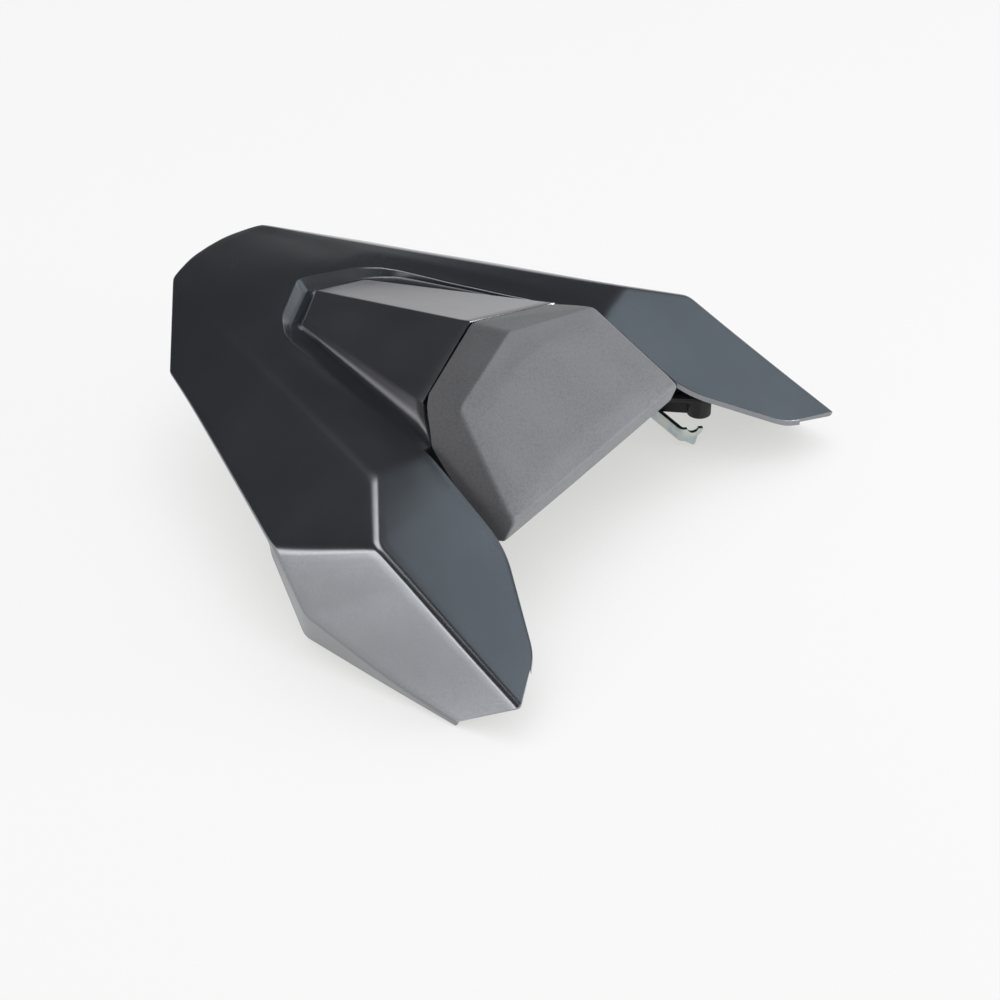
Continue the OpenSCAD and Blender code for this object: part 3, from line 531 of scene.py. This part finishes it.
def moulded_rubber():
    """Moulded rubber buffers: dead matt black with a faint grey bloom."""
    material, tree, shader, place = new_material("moulded_rubber", Metallic=0.0, IOR=1.52)
    cloud = noise(tree, place, 5, 4.0)
    tree.links.new(ramp(tree, cloud, [(0.35, "#141414"), (0.7, "#232323")]), shader.inputs["Base Color"])
    tree.links.new(to_range(tree, cloud, 0.7, 0.85), shader.inputs["Roughness"])
    bump = add(tree, "ShaderNodeBump", {"Strength": 0.3, "Distance": 0.1 * MM, "Height": noise(tree, place, 0.7, 3.0)})
    tree.links.new(bump.outputs["Normal"], shader.inputs["Normal"])
    return material


SHELL_PAINT = satin_painted_abs()
HUMP_FINISH = satin_moulded_abs()
PAD_SKIN = grained_vinyl()
PAN_PLASTIC = textured_polypropylene()
ZINC = zinc_plated_steel()
BLACK_STEEL = black_oxide_steel()
RUBBER = moulded_rubber()

# ---------------------------------------------------------------- the pieces

points, faces = shell_mesh()
shell = keep_mesh("tail_shell", points, faces)
edit(shell, mirrored_whole)
shade(shell, 38)
finish_piece(shell, SHELL_PAINT, "shell_paint", "outer_shell")


def shell_bosses():
    """Screw bosses under the shell, their tops sunk in its wall."""
    tree = BVHTree.FromPolygons([v.co for v in shell.data.vertices], [tuple(p.vertices) for p in shell.data.polygons])
    points, faces = [], []
    places = [((126.07, -94.87), 39.2), ((-126.07, -94.87), 39.2), ((62.02, 59.01), 48.0), ((-62.02, 59.01), 48.0), ((0, 125.51), 82.0)]
    count = 40
    for (x, y), low in places:
        base = len(points)
        for k in range(count):
            a = 2 * math.pi * k / count
            c, s = math.cos(a), math.sin(a)
            ox, oy = x + 5 * c, y + 5 * s
            hit = tree.ray_cast(Vector((ox * MM, oy * MM, (low + 0.5) * MM)), Vector((0, 0, 1)))[0]
            high = (hit.z / MM if hit else low + 10) + 1.2
            ix, iy = x + 2.05 * c, y + 2.05 * s
            points += [(ox, oy, high), (ox, oy, low + 0.5), (x + 4.5 * c, y + 4.5 * s, low), (x + 2.5 * c, y + 2.5 * s, low),
                       (ix, iy, low + 0.45), (ix, iy, low + 12)]
        centre = len(points)
        points += [(x, y, low + 13), (x, y, max(p[2] for p in points[base:centre:6]) - 1.0)]
        for k in range(count):
            a, b = base + 6 * k, base + 6 * ((k + 1) % count)
            faces += [[a + n, b + n, b + n + 1, a + n + 1] for n in range(5)]
            faces += [[a + 5, b + 5, centre], [b, a, centre + 1]]
    piece = keep_mesh("shell_bosses", points, faces)
    edit(piece, tidy_faces)
    shade(piece, 40)
    return finish_piece(piece, SHELL_PAINT, "shell_paint")


shell_bosses()


def hump_piece():
    net = np.array(HUMP_NET)
    net[:, 1] = net[:, 0] + (net[:, 2] - net[:, 0]) * 0.03
    grid = smooth_grid(net, [0.3, 0.9, 9.0], [0.9], 8, [1, 8, 2, 2], [3, 16])
    rows, cols = grid.shape[:2]
    faces = [[i * cols + j, i * cols + j + 1, (i + 1) * cols + j + 1, (i + 1) * cols + j]
             for i in range(rows - 1) for j in range(cols - 1)]
    piece = keep_mesh("hump_cover_skin", grid.reshape(-1, 3), faces)
    edit(piece, mirrored_whole)
    if sum(p.normal.z for p in piece.data.polygons) < 0:
        edit(piece, lambda bm: bmesh.ops.reverse_faces(bm, faces=bm.faces[:]))
    wall = piece.modifiers.new("wall", "SOLIDIFY")
    wall.thickness, wall.offset, wall.use_even_offset = HUMP_WALL * MM, -1, True
    soft = piece.modifiers.new("soft_edges", "BEVEL")
    soft.width, soft.segments, soft.limit_method, soft.angle_limit = 0.35 * MM, 2, "ANGLE", math.radians(60)
    bake(piece)
    shade(piece, 38)
    return finish_piece(piece, HUMP_FINISH, "hump_plastic", "hump_cover")


hump_piece()


PAD_SWELL = 1.7      # no point of the cushion may move further than this
PAD_GIVE = 0.55      # share of the movement that the firm foam lets through
PAD_DRAW = 0.12      # share of a movement inwards that is kept, at the folds
PAD_VOXEL = 2.6


def cut_in_squares(bm, spacing):
    """The faces cut by planes square to the pad's own axes, so that they can bend."""
    c, s = math.cos(PAD_SLOPE), math.sin(PAD_SLOPE)
    for axis, low, high in (((1, 0, 0), -84, 84), ((0, c, s), -4, 96), ((0, -s, c), -18, 2)):
        for k in range(int((high - low) / spacing) + 1):
            at = (PAD_FOOT + np.array(axis) * (low + k * spacing)) * MM
            bmesh.ops.bisect_plane(bm, geom=bm.verts[:] + bm.edges[:] + bm.faces[:], dist=1e-7, plane_co=at, plane_no=axis)


def swollen(piece):
    """Cloth simulation of the cushion: a remeshed copy is blown up, and the piece takes over how far each place moved."""
    copy = bpy.data.objects.new("cushion_cloth", piece.data.copy())
    bpy.context.scene.collection.objects.link(copy)
    cut = copy.modifiers.new("voxels", "REMESH")
    cut.mode, cut.voxel_size = "VOXEL", PAD_VOXEL * MM
    bake(copy)
    start = np.array([tuple(v.co) for v in copy.data.vertices])
    outward = np.array([tuple(v.normal) for v in copy.data.vertices])
    # The back is held by the backing plate, and the folds of the foam hold most of their line
    behind = np.array([0, -math.sin(PAD_SLOPE), math.cos(PAD_SLOPE)])
    depth = (start / MM - PAD_FOOT) @ behind
    held = copy.vertex_groups.new(name="held")
    for k in np.nonzero(depth < -PAD_T + 2.5)[0]:
        held.add([int(k)], 1.0, "REPLACE")
    cloth = copy.modifiers.new("cloth", "CLOTH")
    cloth.settings.vertex_group_mass = "held"
    cloth.settings.use_pressure = True
    cloth.settings.uniform_pressure_force = 4
    cloth.settings.effector_weights.gravity = 0
    cloth.settings.quality = 5
    cloth.point_cache.frame_start, cloth.point_cache.frame_end = 1, 20
    scene = bpy.context.scene
    for frame_number in range(1, 21):
        scene.frame_set(frame_number)
    bake(copy)
    moved = np.array([tuple(v.co) for v in copy.data.vertices]) - start
    far = lengths(moved)
    moved *= PAD_GIVE * np.minimum(1, PAD_SWELL * MM / np.maximum(far, 1e-9))[:, None]
    rise = (moved * outward).sum(1)
    moved = outward * np.where(rise < 0, rise * PAD_DRAW, rise)[:, None]
    scene.frame_set(1)
    near = kdtree.KDTree(len(start))
    for k, p in enumerate(start):
        near.insert(p, k)
    near.balance()
    for vertex in piece.data.vertices:
        around = near.find_n(vertex.co, 14)
        weight = np.array([1 / (d + 1.5 * MM) for _, _, d in around])
        step = (weight[:, None] * moved[[k for _, k, _ in around]]).sum(0) / weight.sum()
        vertex.co += Vector(step)
    bpy.data.objects.remove(copy)


def pad_piece():
    """The padded back: a crowned sloping face, bevelled sides that widen towards the shell, and a tucked lower edge."""
    face = from_pad([PAD_FACE[0], PAD_FACE[1], PAD_FACE[2], *[[-x, y, z] for x, y, z in PAD_FACE[1:3]]])
    half = [[57.5, 79.6], [62.9, 75.6], [76.0, 58], [77.2, 52.8], [83.42, 1.6]]
    back = from_pad([PAD_SHOULDER[0]] + [[side * x, y, -PAD_T] for x, y in half for side in (1, -1)])
    lip = from_pad([[82, -4.4, -9.9], [-82, -4.4, -9.9]])
    bm = bmesh.new()
    for p in np.vstack([face, back, lip]):
        bm.verts.new(tuple(p * MM))
    bmesh.ops.convex_hull(bm, input=bm.verts[:])
    bmesh.ops.dissolve_limit(bm, angle_limit=math.radians(1.5), verts=bm.verts[:], edges=bm.edges[:])
    bmesh.ops.recalc_face_normals(bm, faces=bm.faces[:])
    mesh = bpy.data.meshes.new("backrest_cushion")
    bm.to_mesh(mesh)
    bm.free()
    piece = bpy.data.objects.new("backrest_cushion", mesh)
    bpy.context.scene.collection.objects.link(piece)
    soft = piece.modifiers.new("soft_edges", "BEVEL")
    soft.width, soft.segments, soft.limit_method, soft.angle_limit = 2.2 * MM, 4, "ANGLE", math.radians(12)
    bake(piece)
    edit(piece, lambda bm: cut_in_squares(bm, 4.0))
    swollen(piece)
    finer = piece.modifiers.new("finer", "SUBSURF")
    finer.levels = finer.render_levels = 1
    bake(piece)
    shade(piece, 50)
    finish_piece(piece, PAD_SKIN, "pad_cover", "backrest_pad")
    return piece


pad_piece()


def from_node(node, name, material, slot, bevel=0.0, angle=35):
    """A merged copy of a CAD node, its edges rounded where a width is given."""
    piece = bpy.data.objects.new(name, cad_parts[node].data.copy())
    bpy.context.scene.collection.objects.link(piece)
    edit(piece, tidy_faces)
    if bevel:
        edit(piece, lambda bm: bmesh.ops.dissolve_limit(bm, angle_limit=math.radians(0.5), verts=bm.verts[:], edges=bm.edges[:]))
        soft = piece.modifiers.new("soft_edges", "BEVEL")
        soft.width, soft.segments, soft.limit_method, soft.angle_limit = bevel * MM, 2, "ANGLE", math.radians(40)
        bake(piece)
    shade(piece, angle)
    return finish_piece(piece, material, slot, node)


for side in ("left", "right"):
    from_node("hook_bracket_" + side, "hook_strip_" + side, ZINC, "zinc_steel", 0.3)
    for end in ("front", "rear"):
        from_node(f"{end}_buffer_{side}", f"{end}_rubber_foot_{side}", RUBBER, "buffer_rubber", 0.4)
from_node("seat_pan", "moulded_pan", PAN_PLASTIC, "black_plastic")
from_node("pad_backing_plate", "pad_backing", PAN_PLASTIC, "black_plastic")
from_node("striker_plate", "lock_plate", ZINC, "zinc_steel", 0.3)
from_node("striker_loop", "lock_rod", ZINC, "zinc_steel")


# ---------------------------------------------------------------- screws, bolts, washers and nuts

def fastener_tree(name, has_shank, has_cross, has_bore):
    """A Geometry Nodes tree that sets one turned fastener, its seat at the origin, on every point, along its axis."""
    tree = bpy.data.node_groups.new(name, "GeometryNodeTree")
    sockets = tree.interface
    sockets.new_socket("Places", in_out="INPUT", socket_type="NodeSocketGeometry")
    for label in ("Head Radius", "Head Height", "Shank Radius", "Shank Length", "Thread Pitch", "Cross Width", "Bore Radius"):
        sockets.new_socket(label, in_out="INPUT", socket_type="NodeSocketFloat")
    sockets.new_socket("Head Corners", in_out="INPUT", socket_type="NodeSocketInt")
    sockets.new_socket("Finish", in_out="INPUT", socket_type="NodeSocketMaterial")
    sockets.new_socket("Fasteners", in_out="OUTPUT", socket_type="NodeSocketGeometry")
    size = add(tree, "NodeGroupInput").outputs

    def number(kind, one, two=0.0):
        return add(tree, "ShaderNodeMath", {0: one, 1: two}, operation=kind).outputs[0]

    def raised(mesh, z, turn=0.0):
        up = add(tree, "ShaderNodeCombineXYZ", {"Z": z}).outputs[0]
        return add(tree, "GeometryNodeTransform", {"Geometry": mesh, "Translation": up, "Rotation": (0, 0, turn)}).outputs[0]

    def joined(kind, first, others):
        made = add(tree, "GeometryNodeMeshBoolean", operation=kind)
        if kind == "DIFFERENCE":
            tree.links.new(first, made.inputs["Mesh 1"])
        for mesh in others if kind == "DIFFERENCE" else [first, *others]:
            tree.links.new(mesh, made.inputs["Mesh 2"])
        return made.outputs["Mesh"]

    head = add(tree, "GeometryNodeMeshCylinder",
               {"Vertices": size["Head Corners"], "Radius": size["Head Radius"], "Depth": size["Head Height"]}).outputs["Mesh"]
    whole = raised(head, number("MULTIPLY", size["Head Height"], -0.5))
    if has_shank:
        sunk = number("MULTIPLY", size["Head Height"], 0.4)
        length = number("ADD", size["Shank Length"], sunk)
        rod = add(tree, "GeometryNodeMeshCylinder", {"Vertices": 24, "Side Segments": 56, "Radius": size["Shank Radius"],
                                                     "Depth": length}).outputs["Mesh"]
        # The thread: a helical wave that only cuts inwards from the rod's radius
        at = add(tree, "ShaderNodeSeparateXYZ", {"Vector": add(tree, "GeometryNodeInputPosition").outputs[0]}).outputs
        turns = number("MULTIPLY", number("DIVIDE", at["Z"], size["Thread Pitch"]), 2 * math.pi)
        wave = number("COSINE", number("SUBTRACT", turns, number("ARCTAN2", at["Y"], at["X"])))
        cut = number("MULTIPLY", number("SUBTRACT", 1.0, wave), -0.09)
        inward = add(tree, "ShaderNodeCombineXYZ", {"X": number("MULTIPLY", at["X"], cut), "Y": number("MULTIPLY", at["Y"], cut)})
        rod = add(tree, "GeometryNodeSetPosition", {"Geometry": rod, "Offset": inward.outputs[0]}).outputs[0]
        rod = raised(rod, number("MULTIPLY", number("SUBTRACT", size["Shank Length"], sunk), 0.5))
        whole = joined("UNION", whole, [rod])
    if has_cross:
        # Two bars, one a little deeper, so that none of their faces lie in one plane
        low = number("MULTIPLY", size["Head Height"], -1.0)
        for share, turn in ((1.0, 0.0), (1.08, math.pi / 2)):
            deep = number("MULTIPLY", size["Head Height"], share)
            wide = add(tree, "ShaderNodeCombineXYZ", {"X": size["Head Radius"], "Y": size["Cross Width"], "Z": deep}).outputs[0]
            bar = raised(add(tree, "GeometryNodeMeshCube", {"Size": wide}).outputs["Mesh"], low, turn)
            whole = joined("DIFFERENCE", whole, [bar])
    if has_bore:
        depth = number("MULTIPLY", size["Head Height"], 4.0)
        bore = add(tree, "GeometryNodeMeshCylinder", {"Vertices": 32, "Radius": size["Bore Radius"], "Depth": depth}).outputs["Mesh"]
        whole = joined("DIFFERENCE", whole, [bore])
    axis = add(tree, "GeometryNodeInputNamedAttribute", {"Name": "axis"}, data_type="FLOAT_VECTOR").outputs["Attribute"]
    turned = add(tree, "FunctionNodeAlignRotationToVector", {"Vector": axis}, axis="Z").outputs[0]
    spread = add(tree, "GeometryNodeInstanceOnPoints", {"Points": size["Places"], "Instance": whole, "Rotation": turned})
    real = add(tree, "GeometryNodeRealizeInstances", {"Geometry": spread.outputs[0]})
    done = add(tree, "GeometryNodeSetMaterial", {"Geometry": real.outputs[0], "Material": size["Finish"]})
    add(tree, "NodeGroupOutput", {"Fasteners": done.outputs[0]})
    return tree


TAPPING_SCREW = fastener_tree("cross_head_tapping_screw", True, True, False)
HEX_BOLT = fastener_tree("hex_head_bolt", True, False, False)
BORED_RING = fastener_tree("bored_ring", False, False, True)
SCREW_SIZES = {"Head Radius": 4 * MM, "Head Height": 2.4 * MM, "Shank Radius": 2 * MM, "Thread Pitch": 1.6 * MM,
               "Cross Width": 1.1 * MM, "Head Corners": 32}


def fasteners(node, tree, places, material, slot, soft, **sizes):
    """A CAD node's fasteners from a tree: each place is its seat and the direction of its shank, in millimetres."""
    places = places + [((-p[0], *p[1:]), (-d[0], *d[1:])) for p, d in places if p[0]]
    mesh = bpy.data.meshes.new(node + "_turned")
    mesh.from_pydata([tuple(np.array(p) * MM) for p, _ in places], [], [])
    axis = mesh.attributes.new("axis", "FLOAT_VECTOR", "POINT")
    axis.data.foreach_set("vector", [v for _, d in places for v in d])
    piece = bpy.data.objects.new(node + "_turned", mesh)
    bpy.context.scene.collection.objects.link(piece)
    made = piece.modifiers.new("made", "NODES")
    made.node_group = tree
    labels = {item.name: item.identifier for item in tree.interface.items_tree if item.in_out == "INPUT"}
    for label, value in {**sizes, "Finish": material}.items():
        made[labels[label]] = value
    edge = piece.modifiers.new("soft_edges", "BEVEL")
    edge.width, edge.segments, edge.limit_method, edge.angle_limit = soft * MM, 2, "ANGLE", math.radians(50)
    bake(piece)
    shade(piece, 32)
    return finish_piece(piece, material, slot, node)


UP = (0, 0, 1)
fasteners("shell_screws", TAPPING_SCREW, [((126.07, -94.87, 33.2), UP), ((62.02, 59.01, 42.0), UP), ((0, 125.51, 76.0), UP)],
          BLACK_STEEL, "black_steel", 0.3, **{**SCREW_SIZES, "Shank Length": 16 * MM})
fasteners("hump_screws", TAPPING_SCREW, [((37.85, 38.08, 85.84), UP), ((59.33, -20.26, 82.53), UP)],
          BLACK_STEEL, "black_steel", 0.3, **{**SCREW_SIZES, "Shank Length": 6.2 * MM})
fasteners("striker_screws", TAPPING_SCREW, [((22.5, 39.12, 23.0), UP)],
          ZINC, "zinc_steel", 0.3, **{**SCREW_SIZES, "Shank Length": 11 * MM})
PAD_FORWARD = (0, -math.sin(PAD_SLOPE), math.cos(PAD_SLOPE))
fasteners("pad_screws", TAPPING_SCREW, [(tuple(from_pad([x, y, -25])), PAD_FORWARD) for x, y in ((38.44, 57.6), (56.76, 11.2))],
          BLACK_STEEL, "black_steel", 0.3, **{**SCREW_SIZES, "Shank Length": 13 * MM})
OUTWARD = (0.9135, -0.4067, 0)
BOLT_PLACES = ((118.09, -65.63), (122.78, -55.1))


def on_strip(distance):
    """The bolts' places at a distance outwards from the strip's inner face."""
    return [((x + OUTWARD[0] * distance, y + OUTWARD[1] * distance, 9.5), OUTWARD) for x, y in BOLT_PLACES]


fasteners("hook_bolts", HEX_BOLT, on_strip(-0.8), ZINC, "zinc_steel", 0.2,
          **{"Head Radius": 3.6 * MM, "Head Height": 2.8 * MM, "Shank Radius": 2 * MM, "Shank Length": 10.7 * MM,
             "Thread Pitch": 0.9 * MM, "Head Corners": 6})
fasteners("hook_washers", BORED_RING, on_strip(0), ZINC, "zinc_steel", 0.12,
          **{"Head Radius": 4 * MM, "Head Height": 0.8 * MM, "Bore Radius": 2.2 * MM, "Head Corners": 32})
fasteners("hook_nuts", BORED_RING, on_strip(8.7), ZINC, "zinc_steel", 0.2,
          **{"Head Radius": 3.6 * MM, "Head Height": 3.2 * MM, "Bore Radius": 2.05 * MM, "Head Corners": 6})

# ---------------------------------------------------------------- floor, light and camera

def shown_rays(tree):
    """1 for the rays that show the background: those of the camera, and through gloss and glass."""
    path = add(tree, "ShaderNodeLightPath")
    two = add(tree, "ShaderNodeMath", {0: path.outputs["Is Camera Ray"], 1: path.outputs["Is Glossy Ray"]}, operation="MAXIMUM")
    return add(tree, "ShaderNodeMath", {0: two.outputs[0], 1: path.outputs["Is Transmission Ray"]}, operation="MAXIMUM").outputs[0]


def paper_sweep():
    """A plain white sheet of paper: it keeps the cowl's shadow, and its own white is lifted for the rays that show it;
    that lifted white carries painted shade, darker where ambient occlusion finds the cowl close by.
    """
    material, tree, shader, place = new_material("white_paper_sweep", Metallic=0.0, Roughness=0.9, IOR=1.4)
    tree.links.new(ramp(tree, noise(tree, place, 400, 1.0), [(0.3, "#f4f4f2"), (0.7, "#f7f7f5")]), shader.inputs["Base Color"])
    # painted shade: ambient occlusion darkens the lifted white near the cowl, a contact shadow drawn into the emission
    near = add(tree, "ShaderNodeAmbientOcclusion", {"Distance": 0.13}, samples=12).outputs["AO"]
    lifted_white_with_painted_shade = add(tree, "ShaderNodeEmission", {"Color": ramp(tree, near, [(0.1, "#d4d4d2"), (0.9, "#ffffff")]), "Strength": 1.0})
    share = add(tree, "ShaderNodeMath", {0: shown_rays(tree), 1: 0.88}, operation="MULTIPLY")
    both = add(tree, "ShaderNodeMixShader", {"Fac": share.outputs[0], 1: shader.outputs[0], 2: lifted_white_with_painted_shade.outputs[0]})
    tree.links.new(both.outputs[0], tree.nodes["Material Output"].inputs["Surface"])
    return material


def floor_piece():
    reach = 6000.0
    points = [(-reach, -reach, 0), (reach, -reach, 0), (reach, reach, 0), (-reach, reach, 0)]
    piece = keep_mesh("studio_floor", points, [[0, 1, 2, 3]])
    piece.data.materials.append(paper_sweep())


floor_piece()


def lamp(name, place, aim, size, power, tint="#ffffff"):
    """A soft rectangular lamp, in metres, turned to its aim."""
    light = bpy.data.lights.new(name, "AREA")
    light.shape = "RECTANGLE"
    light.size, light.size_y = size
    light.energy = power
    light.color = colour(tint)[:3]
    thing = bpy.data.objects.new(name, light)
    bpy.context.scene.collection.objects.link(thing)
    thing.location = place
    thing.rotation_euler = (Vector(aim) - Vector(place)).to_track_quat("-Z", "Y").to_euler()


lamp("key_softbox", (0.83, -1.56, 0.37), (0, 0, 0.05), (0.9, 0.7), 30, "#fbfffe")
lamp("overhead_softbox", (-0.15, 0.1, 1.45), (0, 0, 0.05), (1.0, 1.0), 7)
lamp("right_softbox", (1.4, -0.57, 1.2), (0, 0, 0.05), (1.3, 0.9), 1.7, "#e2f4ff")
lamp("left_fill", (-1.55, 0.4, 0.25), (0, 0, 0.05), (0.9, 0.5), 3)

world = bpy.data.worlds.new("studio_world")
bpy.context.scene.world = world
world.use_nodes = True
tree = world.node_tree
tree.nodes.clear()
# A white room as far up as the horizon's haze, and a dim ceiling above it
way = add(tree, "ShaderNodeTexCoord").outputs["Generated"]
up = add(tree, "ShaderNodeSeparateXYZ", {"Vector": way}).outputs["Z"]
dome = ramp(tree, up, [(0.0, "#ffffff"), (0.16, "#f4f4f4"), (0.34, "#38383c"), (0.6, "#3c3e42")])
soft_light = add(tree, "ShaderNodeBackground", {"Color": dome, "Strength": 1.0})
add(tree, "ShaderNodeOutputWorld", {"Surface": soft_light.outputs[0]})

# The photograph's camera, solved for the cowl's mirror symmetry
CAMERA_PLACE = Vector((-885.36, -654.65, 757.24)) * MM
FOCAL_PIXELS, PICTURE = 2354.0, 1000
AZIMUTH, ELEVATION = math.radians(55.3), math.radians(35)
camera_data = bpy.data.cameras.new("photo_camera")
camera_data.sensor_width = 36
camera_data.lens = 36 * FOCAL_PIXELS / PICTURE
camera = bpy.data.objects.new("photo_camera", camera_data)
bpy.context.scene.collection.objects.link(camera)
camera.location = CAMERA_PLACE
forward = Vector((math.sin(AZIMUTH) * math.cos(ELEVATION), math.cos(AZIMUTH) * math.cos(ELEVATION), -math.sin(ELEVATION)))
camera.rotation_euler = forward.to_track_quat("-Z", "Y").to_euler()
bpy.context.scene.camera = camera
bpy.context.scene.view_settings.view_transform = "Standard"
